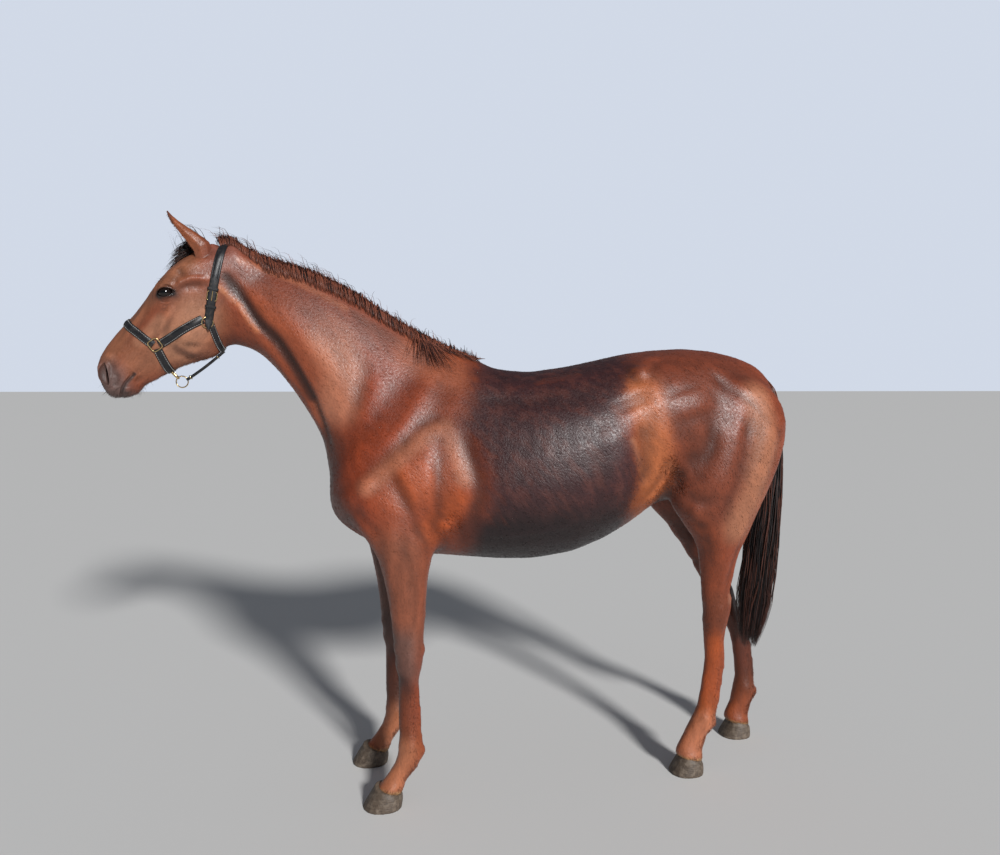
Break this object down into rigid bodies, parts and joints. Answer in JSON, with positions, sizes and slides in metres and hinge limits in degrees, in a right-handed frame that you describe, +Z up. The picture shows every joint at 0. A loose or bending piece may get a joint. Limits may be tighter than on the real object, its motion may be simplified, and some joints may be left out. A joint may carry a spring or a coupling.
{
  "type": "horse",
  "caption": "Saddle horse standing square with its head up and ears forward, in a padded leather halter with brass rings.",
  "frame": {"origin": "on the floor, under the middle of the whole horse's box", "axes": "+X towards the tail along the body, -Y to the horse's left side, +Z up"},
  "size_m": [2.5834, 0.63, 2.1062],
  "materials": {
    "coat": "short glossy hair, liver chestnut",
    "long_hair": "coarse hair, dark red-brown",
    "hoof_horn": "dry horn",
    "eye": "wet gloss",
    "halter_leather": "padded and waxed",
    "halter_brass": "polished"
  },
  "bodies": {
    "root": {"head": "coat", "neck": "coat", "trunk": "coat", "foreleg_left_upper": "coat", "foreleg_left_lower": "coat", "foreleg_left_hoof": "hoof_horn", "foreleg_right_upper": "coat", "foreleg_right_lower": "coat", "foreleg_right_hoof": "hoof_horn", "hindleg_left_upper": "coat", "hindleg_left_lower": "coat", "hindleg_left_hoof": "hoof_horn", "hindleg_right_upper": "coat", "hindleg_right_lower": "coat", "hindleg_right_hoof": "hoof_horn", "ear_left": "coat", "ear_right": "coat", "eye_left": "eye", "eye_right": "eye", "mane": "long_hair", "forelock": "long_hair", "tail": "long_hair", "halter_noseband": "halter_leather", "halter_chinstrap": "halter_leather", "halter_crownpiece": "halter_leather", "halter_throatstrap": "halter_leather", "halter_cheekpiece_left": "halter_leather", "halter_cheekpiece_right": "halter_leather", "halter_jowl_strap": "halter_leather", "halter_square_ring_left": "halter_brass", "halter_square_ring_right": "halter_brass", "halter_cheek_ring_left": "halter_brass", "halter_cheek_ring_right": "halter_brass", "halter_lead_ring": "halter_brass", "halter_chin_loop": "halter_brass"}
  },
  "joints": []
}
